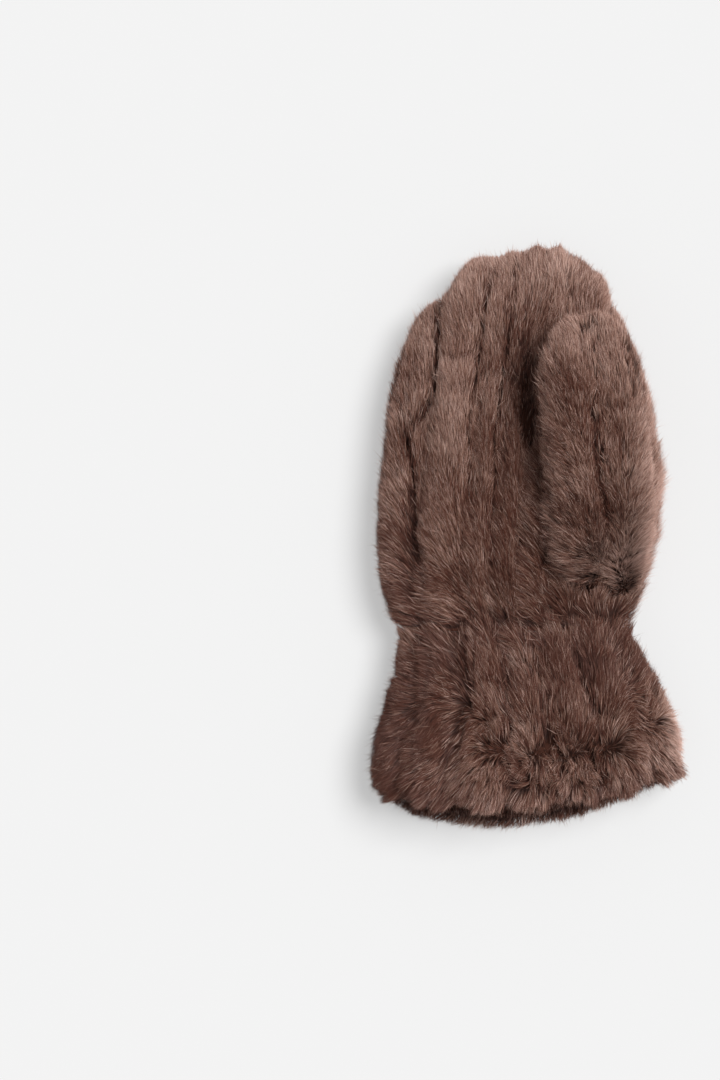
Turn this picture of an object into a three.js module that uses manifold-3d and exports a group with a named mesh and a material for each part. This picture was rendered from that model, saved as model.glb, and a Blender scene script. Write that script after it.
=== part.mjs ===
// A right-hand fur mitten that lies on a table, palm up and fingertips towards +Y.
// It is sewn from a palm panel, a back panel, a thumb that lies on the palm, a flared cuff that starts
// at the gathered wrist seam, and a fur hem turned in at the cuff's mouth. Each piece is a thin hide
// with fur sewn on it in long strips, so the grooves between the strips run along the hand.
// The hollow is open from the mouth through the wrist to the fingertips and into the thumb.
// Millimetres. X points to the thumb side, Y to the fingertips and Z up. The table is at Z = 0.
import * as THREE from "three";
import { mergeVertices } from "three/addons/utils/BufferGeometryUtils.js";
import Module from "manifold-3d";

const wasm = await Module();
wasm.setup();

// Driving sizes. The outer sizes are taken over the fur, as the mitten lies.
const handLength = 184; // from the wrist seam to the end of the fingertips
const handWidth = 135;
const handHeight = 40; // top of the palm's fur above the table
const wristWidth = 114;
const wristHeight = 34;
const cuffLength = 92; // from the wrist seam to the mouth, on the back of the hand
const cuffWidth = 150; // at the mouth
const cuffHeight = 45; // at the mouth
const palmRimStep = 8; // how much shorter the cuff is on the palm side
const rimBow = 16; // how much shorter the cuff is at its two sides
const rimTilt = 13; // how much longer the cuff is on the little finger's side than on the thumb's side
const thumbWidth = 54;
const thumbDepth = 36;
const thumbRise = 50; // height of the thumb's middle line above the table
const seamHeight = 18; // height of the side seam, where palm and back panels meet
const hideWall = 2.5; // knitted backing of the fur
const pile = 10; // height of the fur above the hide
const pressedPile = 5; // how far the fur under the mitten is pressed flat by the table
const hemTurn = 24; // how deep the hem is turned into the mouth
const hemPile = 5; // thickness of the hem with its short fur
const rimOverhang = 5; // how far the fur stands over the edge of the hide at the mouth
const seamGap = 0.3; // clearance between two sewn pieces

// How square the rounded sections are: 2 is an ellipse.
const handSquareness = 2.4;
const cuffSquareness = 2.3;
const thumbSquareness = 2.1;
// The fingertips close as a round from this share of the hand's length on.
const tipStart = 0.33;
const tipFullness = 0.45;
// A strip reaches this share of its width past its grooves on both sides, so neighbours meet in them.
const stripOverlap = 0.14;
const stripFullness = 0.5;
const stripRoot = 1.2; // how deep a strip is sunk into the hide
// The wrist elastic presses the fur down to this share of its height, over this share of a piece.
const gatherPress = 0.5;
const gatherReach = 0.1;

// Sections of the hand from the wrist seam (0) to the fingertips (1). centre is a share of handWidth,
// swell goes from the wrist's size (0) to the hand's size (1), and rise does the same for the height.
const handSections = [
  { along: 0.0, centre: -0.056, swell: 0.0, rise: 0.0 },
  { along: 0.07, centre: -0.063, swell: 0.43, rise: 0.45 },
  { along: 0.2, centre: -0.045, swell: 0.95, rise: 0.95 },
  { along: 0.33, centre: -0.034, swell: 1.04, rise: 1.0 },
  { along: 0.6, centre: -0.03, swell: 1.12, rise: 1.0 },
  { along: 0.8, centre: -0.034, swell: 1.5, rise: 1.1 },
  { along: 1.0, centre: 0.015, swell: 1.7, rise: 1.3 },
];

// Grooves between the fur strips of the hand, as shares of half its width from its middle line:
// beside the palm (low) and near the fingertips (high), where the strips draw together.
const handGrooves = [
  { low: -0.77, high: -0.56 },
  { low: -0.37, high: -0.26 },
  { low: -0.19, high: -0.07 },
  { low: 0.06, high: 0.12 },
  { low: 0.32, high: 0.29 },
  { low: 0.56, high: 0.47 },
  { low: 0.78, high: 0.65 },
];

// Lumps along each strip: its crest height as a share of the pile, and where its waves start.
const handLumps = [
  { crest: 1.0, wave: 0.12, start: 0.3 },
  { crest: 0.9, wave: 0.12, start: 0.65 },
  { crest: 0.96, wave: 0.1, start: 0.9 },
  { crest: 1.04, wave: 0.1, start: 0.15 },
  { crest: 0.94, wave: 0.12, start: 0.8 },
  { crest: 1.0, wave: 0.1, start: 0.45 },
];
const sideLump = { crest: 0.98, wave: 0.06, start: 0.2 };
const lumpsAlong = 3.2; // waves along one side of a strip

// Sections of the cuff from the wrist seam (0) to the mouth (1). flare goes from the wrist's size (0)
// to the mouth's size (1), and centre is a share of cuffWidth.
const cuffSections = [
  { along: 0.0, centre: -0.045, flare: 0.0 },
  { along: 0.15, centre: -0.028, flare: 0.14 },
  { along: 0.35, centre: -0.014, flare: 0.48 },
  { along: 0.55, centre: -0.011, flare: 0.83 },
  { along: 0.75, centre: -0.009, flare: 0.98 },
  { along: 1.0, centre: -0.008, flare: 1.0 },
];

// Grooves between the fur strips of the cuff, as shares of half its width from its middle line.
const cuffGrooves = [
  { share: -0.8 },
  { share: -0.5 },
  { share: -0.13 },
  { share: 0.14 },
  { share: 0.46 },
  { share: 0.8 },
];
const cuffLumps = [
  { crest: 0.95, wave: 0.1, start: 0.3 },
  { crest: 1.04, wave: 0.12, start: 0.7 },
  { crest: 0.92, wave: 0.12, start: 0.1 },
  { crest: 1.0, wave: 0.1, start: 0.5 },
  { crest: 0.96, wave: 0.12, start: 0.9 },
];

// The thumb's middle line: forward is a share of handLength from the wrist seam, across a share of half
// of handWidth, rise a share of thumbRise, and width and depth shares of thumbWidth and thumbDepth.
const thumbLine = [
  { along: 0.0, forward: 0.14, across: 0.45, rise: 0.42, width: 0.85, depth: 0.9 },
  { along: 0.2, forward: 0.2, across: 0.48, rise: 0.62, width: 0.92, depth: 1.02 },
  { along: 0.4, forward: 0.31, across: 0.48, rise: 0.84, width: 1.0, depth: 1.05 },
  { along: 0.6, forward: 0.46, across: 0.45, rise: 0.98, width: 1.0, depth: 1.0 },
  { along: 0.8, forward: 0.64, across: 0.4, rise: 1.0, width: 1.02, depth: 0.97 },
  { along: 1.0, forward: 0.82, across: 0.34, rise: 0.95, width: 1.0, depth: 0.9 },
];
const thumbTipStart = 0.78; // share of the middle line where the thumb's end begins to close
const thumbTipFullness = 0.42;
// Grooves between the thumb's fur strips, as parts of a turn from its right side.
const thumbGrooves = [{ turn: -0.04 }, { turn: 0.225 }, { turn: 0.53 }, { turn: 0.74 }, { turn: 0.96 }];
const thumbLumps = [
  { crest: 0.96, wave: 0.06, start: 0.2 },
  { crest: 1.0, wave: 0.08, start: 0.65 },
  { crest: 0.94, wave: 0.05, start: 0.1 },
  { crest: 0.94, wave: 0.05, start: 0.5 },
];

// How finely the forms are drawn.
const hideSides = 32;
const hideRings = 11;
const liningSides = 24;
const liningRings = 9;
const stripStations = 23;
const stripColumns = 6;
const beforeSeam = -0.03; // share at which a form starts before it is cut at the wrist seam
const handEnd = 0.999; // shares at which the closing ends stop, just short of a point
const thumbEnd = 0.9995;

// Reads a column of a table of sections at a place along it, as a smooth line through its rows.
function readAt(table, along, column) {
  const last = table.length - 1;
  let i = 0;
  while (i < last - 1 && along > table[i + 1].along) i += 1;
  const a = table[i];
  const b = table[i + 1];
  const slope = (j) => {
    const from = table[Math.max(j - 1, 0)];
    const to = table[Math.min(j + 1, last)];
    return (to[column] - from[column]) / (to.along - from.along);
  };
  const span = b.along - a.along;
  const t = THREE.MathUtils.clamp((along - a.along) / span, 0, 1);
  const t2 = t * t;
  const t3 = t2 * t;
  return (
    a[column] * (2 * t3 - 3 * t2 + 1) +
    slope(i) * span * (t3 - 2 * t2 + t) +
    b[column] * (3 * t2 - 2 * t3) +
    slope(i + 1) * span * (t3 - t2)
  );
}

const mix = THREE.MathUtils.lerp;
const signedPower = (value, power) => Math.sign(value) * Math.abs(value) ** power;

// Each form below gives a point for an inset from the surface of the fur, a share along the form and an
// angle round it. The angle is 0 on the thumb's side and a quarter turn on top.

// Half the hand's width over its fur, before the fingertips round it off.
function handHalf(along) {
  return mix(wristWidth, handWidth, readAt(handSections, along, "swell")) / 2;
}

// How far the round of the fingertips leaves a section its size: 1 on the palm, 0 at the very end.
function tipRound(along, start, fullness) {
  const q = Math.max(0, (along - start) / (1 - start));
  return Math.max(0, 1 - q * q) ** fullness;
}

function handPoint(inset, along, angle) {
  const power = 2 / handSquareness;
  const size = tipRound(along, tipStart, tipFullness);
  const above = mix(wristHeight, handHeight, readAt(handSections, along, "rise")) - seamHeight;
  const below = seamHeight + pressedPile;
  const side = (Math.sin(angle) > 0 ? above : below) - inset;
  return new THREE.Vector3(
    readAt(handSections, along, "centre") * handWidth +
      (handHalf(along) - inset) * size * signedPower(Math.cos(angle), power),
    along * (handLength - inset),
    seamHeight + side * size * signedPower(Math.sin(angle), power),
  );
}

// The cuff starts one seam gap behind the hand. Its sides and its palm side are shorter than its back.
function cuffPoint(inset, along, angle) {
  const power = 2 / cuffSquareness;
  const across = signedPower(Math.cos(angle), power);
  const rise = signedPower(Math.sin(angle), power);
  const flare = readAt(cuffSections, along, "flare");
  const half = mix(handHalf(0), cuffWidth / 2, flare) - inset;
  const above = mix(wristHeight, cuffHeight, flare) - seamHeight - inset;
  const below = seamHeight + pressedPile - inset;
  const reach =
    cuffLength - rimBow * across * across - (rimTilt / 2) * across - palmRimStep * Math.max(rise, 0);
  return new THREE.Vector3(
    readAt(cuffSections, along, "centre") * cuffWidth + half * across,
    -seamGap - along * reach,
    seamHeight + (rise > 0 ? above : below) * rise,
  );
}

// The thumb follows its middle line, which starts inside the hand so that the hollow opens there.
const thumbMiddle = new THREE.CatmullRomCurve3(
  thumbLine.map(
    (row) =>
      new THREE.Vector3((row.across * handWidth) / 2, row.forward * handLength, row.rise * thumbRise),
  ),
  false,
  "centripetal",
);
const thumbLength = thumbMiddle.getLength();

function thumbPoint(inset, along, angle) {
  const power = 2 / thumbSquareness;
  const size = tipRound(along, thumbTipStart, thumbTipFullness);
  const t = THREE.MathUtils.clamp(along * (1 - inset / thumbLength), 0, 1);
  const ahead = thumbMiddle.getTangent(t);
  const across = new THREE.Vector3(1, 0, 0).addScaledVector(ahead, -ahead.x).normalize();
  const up = new THREE.Vector3().crossVectors(across, ahead);
  const half = (readAt(thumbLine, t, "width") * thumbWidth) / 2 - inset;
  const rise = (readAt(thumbLine, t, "depth") * thumbDepth) / 2 - inset;
  return thumbMiddle
    .getPoint(t)
    .addScaledVector(across, half * size * signedPower(Math.cos(angle), power))
    .addScaledVector(up, rise * size * signedPower(Math.sin(angle), power));
}

// A closed solid through rings of points, each ring closed and all with the same number of points.
function loftSolid(rings) {
  const sides = rings[0].length;
  const points = rings.flat();
  const faces = [];
  for (let r = 0; r < rings.length - 1; r += 1) {
    for (let s = 0; s < sides; s += 1) {
      const a = r * sides + s;
      const b = r * sides + ((s + 1) % sides);
      faces.push(a, b, a + sides, b, b + sides, a + sides);
    }
  }
  const middleOf = (ring) =>
    ring.reduce((sum, p) => sum.add(p), new THREE.Vector3()).divideScalar(ring.length);
  const start = points.push(middleOf(rings[0])) - 1;
  const end = points.push(middleOf(rings[rings.length - 1])) - 1;
  const lastRing = (rings.length - 1) * sides;
  for (let s = 0; s < sides; s += 1) {
    const next = (s + 1) % sides;
    faces.push(start, next, s);
    faces.push(end, lastRing + s, lastRing + next);
  }
  return solidFrom(points, faces);
}

// A solid from points and faces, turned so that its faces point out.
function solidFrom(points, faces) {
  let volume = 0;
  for (let i = 0; i < faces.length; i += 3) {
    const [a, b, c] = [points[faces[i]], points[faces[i + 1]], points[faces[i + 2]]];
    volume += a.dot(new THREE.Vector3().crossVectors(b, c));
  }
  const triVerts = Uint32Array.from(faces);
  if (volume < 0) {
    for (let i = 0; i < triVerts.length; i += 3) {
      [triVerts[i + 1], triVerts[i + 2]] = [triVerts[i + 2], triVerts[i + 1]];
    }
  }
  const vertProperties = new Float32Array(points.length * 3);
  points.forEach((p, i) => p.toArray(vertProperties, i * 3));
  return new wasm.Manifold(new wasm.Mesh({ numProp: 3, vertProperties, triVerts }));
}

// A box between two corners, as a solid that cuts.
function boxSolid(low, high) {
  const size = new THREE.Vector3().subVectors(high, low);
  const box = new THREE.BoxGeometry(size.x, size.y, size.z);
  box.translate(...new THREE.Vector3().addVectors(low, high).divideScalar(2).toArray());
  box.deleteAttribute("normal");
  box.deleteAttribute("uv");
  const merged = mergeVertices(box);
  return new wasm.Manifold(
    new wasm.Mesh({
      numProp: 3,
      vertProperties: merged.attributes.position.array,
      triVerts: new Uint32Array(merged.index.array),
    }),
  );
}

// Rings round a form between two shares of its length. Towards a closing end they crowd together.
function ringsOf(point, inset, from, to, count, sides, closing = false) {
  return Array.from({ length: count }, (_, i) => {
    const t = i / (count - 1);
    const along = mix(from, to, closing ? Math.sin((t * Math.PI) / 2) : t);
    return Array.from({ length: sides }, (_, s) =>
      point(inset, along, (2 * Math.PI * (s + 0.5)) / sides),
    );
  });
}

// Shares of a strip's length at which its sections stand.
function stationsOf(count, spread = (t) => t) {
  return Array.from({ length: count }, (_, i) => spread(i / (count - 1)));
}

// One fur strip: a rounded ridge on the hide of a form. line(share, station) gives the share along the
// form and the angle for a place across the strip and a station along it, and height(station) gives
// the ridge's height there. grow is a clearance that thickens the strip.
function furStrip(point, grow, line, height, stations) {
  const rings = stations.map((station) => {
    const place = (share, lift) => {
      const { along, angle } = line(share, station);
      return point(pile - grow - lift, along, angle);
    };
    const crest = Array.from({ length: stripColumns + 1 }, (_, c) => {
      const arch = Math.sin((Math.PI * c) / stripColumns) ** stripFullness;
      const share = mix(-stripOverlap, 1 + stripOverlap, c / stripColumns);
      return place(share, mix(-stripRoot / 2, height(station), arch));
    });
    const root = [1 + stripOverlap, 0.5, -stripOverlap].map((share) => place(share, -stripRoot));
    return [...crest, ...root];
  });
  return loftSolid(rings);
}

// The crest height of a strip at a share along one side of it.
function crestHeight(lump, along) {
  const wave = 1 + lump.wave * Math.sin(2 * Math.PI * (lumpsAlong * along + lump.start));
  const press = THREE.MathUtils.smoothstep(along, 0, gatherReach);
  return pile * lump.crest * wave * mix(gatherPress, 1, press);
}

// The angle on the palm side at which a section's surface lies this share of its half width across.
function angleAcross(share, squareness) {
  return Math.acos(THREE.MathUtils.clamp(signedPower(share, squareness / 2), -1, 1));
}

// The fur strips of the hand that run from the wrist over the fingertips to the wrist on the back.
// They lie side by side, and each of their lines turns over where it meets the outline.
function handStrips(grow) {
  const lanes = handGrooves.length - 1;
  const acrossAt = (place, along) => {
    const t = THREE.MathUtils.smoothstep(along, 0.25, 1);
    const i = THREE.MathUtils.clamp(Math.floor(place), 0, lanes - 1);
    const grooveAt = (row) => mix(row.low, row.high, t);
    const share = mix(grooveAt(handGrooves[i]), grooveAt(handGrooves[i + 1]), place - i);
    const spread = Math.min(handHalf(along), handWidth / 2);
    return (share * spread) / (handHalf(along) * tipRound(along, tipStart, tipFullness));
  };
  const endOf = (place) => {
    let low = tipStart;
    let high = 1;
    for (let i = 0; i < 24; i += 1) {
      const middle = (low + high) / 2;
      if (Math.abs(acrossAt(place, middle)) < 1) low = middle;
      else high = middle;
    }
    return low;
  };
  const strips = handLumps.map((lump, lane) => {
    const line = (share, station) => {
      const place = lane + share;
      const along = mix(beforeSeam, endOf(place), Math.sin(Math.PI * station));
      const angle = angleAcross(acrossAt(place, along), handSquareness);
      return { along, angle: station < 0.5 ? angle : -angle };
    };
    const height = (station) => crestHeight(lump, Math.sin(Math.PI * station));
    return furStrip(handPoint, grow, line, height, stationsOf(stripStations));
  });
  // The two strips round the sides, from the wrist to where the outermost grooves meet.
  const stations = stationsOf(Math.ceil(stripStations / 2), (t) => 0.99 * Math.sin((t * Math.PI) / 2));
  for (const outer of [0, lanes]) {
    const line = (share, station) => {
      const along = mix(beforeSeam, endOf(outer), station);
      const edge = angleAcross(acrossAt(outer, along), handSquareness);
      return { along, angle: mix(edge, outer === 0 ? 2 * Math.PI - edge : -edge, share) };
    };
    const height = (station) => crestHeight(sideLump, station) * Math.sqrt(1 - station ** 8);
    strips.push(furStrip(handPoint, grow, line, height, stations));
  }
  return strips;
}

// The fur strips of the cuff, from the wrist seam to rounded ends past the edge of the hide.
function cuffStrips() {
  const stations = stationsOf(Math.ceil(stripStations / 2), (t) => mix(beforeSeam, 1, 1 - (1 - t) ** 1.4));
  const endRound = rimOverhang / cuffLength;
  const rounded = (along) => Math.sqrt(Math.max(0.02, 1 - Math.max(0, 1 + (along - 1) / endRound) ** 2));
  const angles = cuffGrooves.map((row) => angleAcross(row.share, cuffSquareness));
  const stripBetween = (from, to, lump) =>
    furStrip(
      cuffPoint,
      0,
      (share, station) => ({ along: station, angle: mix(from, to, share) }),
      (station) => crestHeight(lump, station) * rounded(station),
      stations,
    );
  const last = angles[angles.length - 1];
  return [
    ...cuffLumps.map((lump, i) => stripBetween(angles[i], angles[i + 1], lump)),
    ...cuffLumps.map((lump, i) => stripBetween(-angles[i + 1], -angles[i], lump)),
    stripBetween(angles[0], 2 * Math.PI - angles[0], sideLump),
    stripBetween(last, -last, sideLump),
  ];
}

// The fur strips of the thumb, from its root in the palm to its end.
function thumbStrips() {
  const stations = stationsOf(Math.ceil(stripStations / 2), (t) => thumbEnd * Math.sin((t * Math.PI) / 2));
  return thumbLumps.map((lump, i) => {
    const [from, to] = [thumbGrooves[i].turn, thumbGrooves[i + 1].turn];
    const wave = (station) => 1 + lump.wave * Math.sin(2 * Math.PI * (2 * station + lump.start));
    return furStrip(
      thumbPoint,
      0,
      (share, station) => ({ along: station, angle: 2 * Math.PI * mix(from, to, share) }),
      (station) => pile * lump.crest * wave(station),
      stations,
    );
  });
}

// Solids that cut: everything above the table, and the space beyond each seam.
const reach = 4 * handLength;
const aboveTable = boxSolid(new THREE.Vector3(-reach, -reach, 0), new THREE.Vector3(reach, reach, reach));
const aboveSeam = boxSolid(
  new THREE.Vector3(-reach, -reach, seamHeight + seamGap / 2),
  new THREE.Vector3(reach, reach, reach),
);
const belowSeam = boxSolid(
  new THREE.Vector3(-reach, -reach, -reach),
  new THREE.Vector3(reach, reach, seamHeight - seamGap / 2),
);
const handSide = boxSolid(new THREE.Vector3(-reach, 0, -reach), new THREE.Vector3(reach, reach, reach));
const cuffSide = boxSolid(
  new THREE.Vector3(-reach, -reach, -reach),
  new THREE.Vector3(reach, -seamGap, reach),
);

// A form with its fur strips, solid throughout.
const fused = (core, strips) => strips.reduce((body, strip) => body.add(strip), core);

// The hand's solid body over its fur, grown by a clearance, from the wrist seam on.
function handBody(grow) {
  const core = loftSolid(ringsOf(handPoint, pile - grow, beforeSeam, handEnd, hideRings, hideSides, true));
  return fused(core, handStrips(grow)).intersect(handSide);
}

const hollowInset = pile + hideWall;
const handHollow = loftSolid(
  ringsOf(handPoint, hollowInset, 2 * beforeSeam, handEnd, liningRings, liningSides, true),
);
const thumbHollow = loftSolid(ringsOf(thumbPoint, hollowInset, 0, thumbEnd, liningRings, liningSides, true));
const thumbBody = fused(
  loftSolid(ringsOf(thumbPoint, pile, 0, thumbEnd, hideRings, liningSides, true)),
  thumbStrips(),
);

const handShell = handBody(0).subtract(handHollow).intersect(aboveTable);
const palmPanel = handShell.intersect(aboveSeam).subtract(thumbHollow);
const backPanel = handShell.intersect(belowSeam);
// The thumb stands on the palm's fur. Slivers that the cut leaves in grooves are dropped.
const thumb = thumbBody
  .subtract(thumbHollow)
  .subtract(handBody(seamGap))
  .decompose()
  .reduce((largest, body) => (body.volume() > largest.volume() ? body : largest));

const hideEnd = 1 - rimOverhang / cuffLength;
const cuffHollow = loftSolid(
  ringsOf(cuffPoint, hollowInset, 2 * beforeSeam, 1.1, liningRings, hideSides),
);
const cuffHide = loftSolid(ringsOf(cuffPoint, pile, beforeSeam, hideEnd, hideRings, hideSides));
const cuff = fused(cuffHide, cuffStrips())
  .subtract(cuffHollow)
  .intersect(aboveTable)
  .intersect(cuffSide);

// The hem is a band of short fur inside the mouth. Its lip stands a little out of the hide's edge.
const hemStart = 1 - hemTurn / cuffLength;
const hemEnd = 1 - rimOverhang / 2 / cuffLength;
const hemInset = hollowInset + seamGap;
const cuffHem = loftSolid(ringsOf(cuffPoint, hemInset, hemStart, hemEnd, 4, hideSides)).subtract(
  loftSolid(ringsOf(cuffPoint, hemInset + hemPile, hemStart - 0.1, hemEnd + 0.1, 4, liningSides)),
);

// A mesh of a solid, with its own material.
function furMesh(name, solid, colour) {
  const { vertProperties, triVerts } = solid.getMesh();
  const geometry = new THREE.BufferGeometry();
  geometry.setAttribute("position", new THREE.BufferAttribute(new Float32Array(vertProperties), 3));
  geometry.setIndex(new THREE.BufferAttribute(new Uint32Array(triVerts), 1));
  geometry.computeVertexNormals();
  const material = new THREE.MeshStandardMaterial({ color: colour, roughness: 0.9, metalness: 0 });
  const mesh = new THREE.Mesh(geometry, material);
  mesh.name = name;
  return mesh;
}

const furBrown = new THREE.Color(0x6b4a3f);
const furBrownDeep = new THREE.Color(0x55392f);

const mitten = new THREE.Group();
mitten.add(furMesh("palm_panel", palmPanel, furBrown));
mitten.add(furMesh("back_panel", backPanel, furBrown));
mitten.add(furMesh("thumb", thumb, furBrown));
mitten.add(furMesh("cuff", cuff, furBrown));
mitten.add(furMesh("cuff_hem", cuffHem, furBrownDeep));

// The origin goes to the middle of the outline on the table.
const outline = new THREE.Box3().setFromObject(mitten);
const middle = outline.getCenter(new THREE.Vector3());
mitten.position.set(-middle.x, -middle.y, -outline.min.z);

export default mitten;
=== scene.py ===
"""A right-hand fur mitten lying palm up with its thumb folded on the palm.

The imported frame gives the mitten's outer form, which stands for the tips of the fur. Each part of it is
replaced by a thin hide that lies a few millimetres further in, and hairs in small locks grow from that
hide up to the form. Lengths are in metres, +X points to the thumb's side and +Y to the fingertips.
"""

import math

import bmesh
import bpy
import numpy as np
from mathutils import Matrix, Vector
from mathutils.bvhtree import BVHTree
from mathutils.kdtree import KDTree


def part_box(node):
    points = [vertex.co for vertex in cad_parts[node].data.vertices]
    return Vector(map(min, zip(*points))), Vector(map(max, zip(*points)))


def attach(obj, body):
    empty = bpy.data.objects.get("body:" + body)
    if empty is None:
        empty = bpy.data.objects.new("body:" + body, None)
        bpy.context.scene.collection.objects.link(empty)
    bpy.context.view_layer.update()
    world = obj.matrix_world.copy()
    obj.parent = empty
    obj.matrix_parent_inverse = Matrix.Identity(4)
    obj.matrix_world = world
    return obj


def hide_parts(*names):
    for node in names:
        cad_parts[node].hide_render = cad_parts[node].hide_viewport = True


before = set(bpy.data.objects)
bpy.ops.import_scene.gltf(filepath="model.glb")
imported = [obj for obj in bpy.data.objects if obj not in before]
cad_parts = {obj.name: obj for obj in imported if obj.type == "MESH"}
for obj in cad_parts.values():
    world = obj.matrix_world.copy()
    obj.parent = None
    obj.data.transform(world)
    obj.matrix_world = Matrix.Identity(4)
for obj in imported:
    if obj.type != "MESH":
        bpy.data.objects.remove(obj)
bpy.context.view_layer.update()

bl_info = {
    "name": "Fur Mitten",
    "version": (1, 0, 0),
    "blender": (4, 5, 0),
    "location": "3D View > Sidebar > Mitten",
    "description": "Grows the hide, fur and studio of a fur mitten on its frame",
    "category": "Add Mesh",
}

MM = 0.001
SIDE_SEAM = 18 * MM  # height of the seam between the palm panel and the back panel
WRIST_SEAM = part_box("palm_panel")[0].y  # where the hand ends and the cuff begins
CUFF_MIDDLE = 19 * MM  # height of the middle of the cuff's hollow
MOUTH_END = -96 * MM  # how far up inside the mouth the cuff's fur goes
PALM_SPLIT = -12 * MM  # where the palm's fur is divided into two pieces
EYE_HEIGHT = 1.6  # height of the camera above the table
KEY_DIRECTION = Vector((-0.52, -0.30, -1.0))  # the way that the key light shines
HAIR_MAP = "OFBake"  # across it runs the tint of a hair, up it the way from root to tip

# The cuff's rim seen from above: places across it and how far down it is there, both in millimetres.
RIM_EDGE = (
    (-75, -68, -44, -12, 12, 28, 44, 60, 68, 75),
    (-120, -124, -129, -131, -129, -125, -121, -116, -112, -106),
)

# The thumb's middle line from its root in the palm to its tip.
THUMB_LINE = (
    np.array(
        [
            (31.6, -19.8, 21.0),
            (33.6, -8.8, 31.0),
            (33.6, 11.5, 42.0),
            (31.6, 39.1, 49.0),
            (28.3, 72.2, 50.0),
            (24.2, 96.0, 48.0),
        ]
    )
    * MM
)

# Furrows between the strips of fur on the side that shows: how wide and how deep each is, and its line
# in millimetres seen from above. A depth of 1 parts the fur down to the hide.
HAND_FURROWS = (
    (1.6, 0.95, ((-39.6, 110), (-44.4, 65), (-55.4, 43), (-54.0, 22))),
    (2.3, 0.95, ((-54.0, 22), (-51.6, -7), (-47.8, -31))),
    (1.3, 0.85, ((-18.0, 115), (-25.2, 70))),
    (1.2, 0.65, ((-25.2, 70), (-28.1, 34))),
    (1.2, 0.5, ((-28.1, 34), (-29.5, 5), (-30.0, -20))),
    (1.3, 0.85, ((-4.6, 120), (-11.3, 85), (-15.0, 52))),
    (1.2, 0.65, ((-15.0, 52), (-16.6, 41), (-16.1, 10))),
    (1.2, 0.5, ((-16.1, 10), (-12.0, -18), (-3.0, -38))),
    (1.3, 0.8, ((19.4, 129), (17.4, 118), (18.0, 104))),
    (1.3, 0.7, ((41.0, 115), (38.6, 100))),
    (2.0, 0.6, ((-2.0, 104), (-3.4, 90))),
    (4.5, 0.95, ((-3.4, 90), (-3.4, 74))),
    (6.0, 1.0, ((-3.4, 74), (-0.8, 44))),
    (1.5, 0.9, ((43.0, 85), (46.0, 76), (48.5, 65))),
    (2.4, 0.35, ((0.0, 36), (-1.0, 20), (-2.0, -2))),
    (1.6, 0.5, ((-2.0, -2), (5.0, -12), (14.6, -19.5))),
    (1.5, 0.6, ((15.0, -38), (22.5, -42), (42.0, -42))),
    (1.5, 0.6, ((-61.0, -36), (-46.0, -41))),
)
CUFF_FURROWS = (
    (1.3, 0.85, ((-24.2, -44), (-26.2, -57), (-27.1, -78), (-33.4, -100))),
    (1.2, 0.5, ((-33.4, -100), (-36.7, -117))),
    (1.2, 0.45, ((-8.4, -55), (-6.5, -75), (-8.0, -98))),
    (1.2, 0.6, ((4.0, -56), (6.0, -77), (7.0, -100))),
    (2.0, 0.9, ((21.0, -57), (24.0, -66))),
    (1.2, 0.55, ((24.0, -66), (28.0, -78), (33.0, -97))),
    (1.4, 0.6, ((33.0, -97), (36.0, -112))),
    (1.2, 0.5, ((55.4, -64), (58.0, -82), (60.0, -100))),
    (2.0, 0.9, ((1.0, -51.5), (6.5, -54.5))),
    (3.0, 0.95, ((22.5, -61), (30.0, -68))),
)
THUMB_FURROWS = (
    (1.2, 0.5, ((23.0, 88), (28.5, 58))),
    (1.9, 1.0, ((28.5, 56), (30.0, 38), (31.0, 30))),
    (3.0, 1.0, ((31.0, 30), (34.0, 12), (36.0, 4))),
    (1.5, 0.9, ((43.0, 85), (46.0, 76), (48.5, 65))),
    (1.2, 0.45, ((38.0, 54), (42.0, 36), (44.0, 20))),
    (1.3, 0.5, ((9.0, 60), (12.5, 30), (17.0, 4))),
)

# Soft patches of paler and darker fur, some of them the fur's own colour and some painted shade and painted
# highlight:
# how much paler each is, its middle in millimetres seen from above and its half width and half length.
HAND_COLOUR_AND_LIGHT_PATCHES = (
    (-0.20, -20, 99, 22, 20),
    (-0.18, 19, 107, 9, 13),
    (-0.18, -11, 9, 11, 26),
    (0.15, -38, 53, 14, 16),
    (0.11, -36, -9, 14, 12),
    (-0.18, -54, -22, 6, 13),
    (-0.18, -67, 38, 6, 25),
    (-0.32, 24, -41, 22, 9),
    (-0.18, -42, -41, 10, 7),
    (0.38, 51, -20, 11, 16),
    (0.30, 58, -3, 8, 12),
)
THUMB_COLOUR_AND_LIGHT_PATCHES = (
    (0.34, 8, 28, 8, 40),
    (0.45, 6, 98, 7, 9),
    (-0.14, 17, 52, 9, 14),
    (-0.12, 18, 92, 9, 12),
    (0.28, 43, -18, 8, 9),
    (0.40, 52, -6, 7, 15),
)
CUFF_COLOUR_AND_LIGHT_PATCHES = (
    (-0.28, 29, -65, 24, 20),
    (-0.24, -11, -53, 12, 8),
    (-0.16, -42, -59, 8, 14),
    (0.18, -29, -85, 9, 24),
    (0.18, 5, -107, 34, 10),
    (0.72, 68, -93, 8, 14),
    (-0.45, -66, -84, 7, 11),
    (0.20, -17, -103, 9, 9),
    (-0.28, 48, -115, 10, 9),
)

# The form of each part by its name, and the outline of the whole mitten, filled in as the hides are made.
forms = {}


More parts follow.
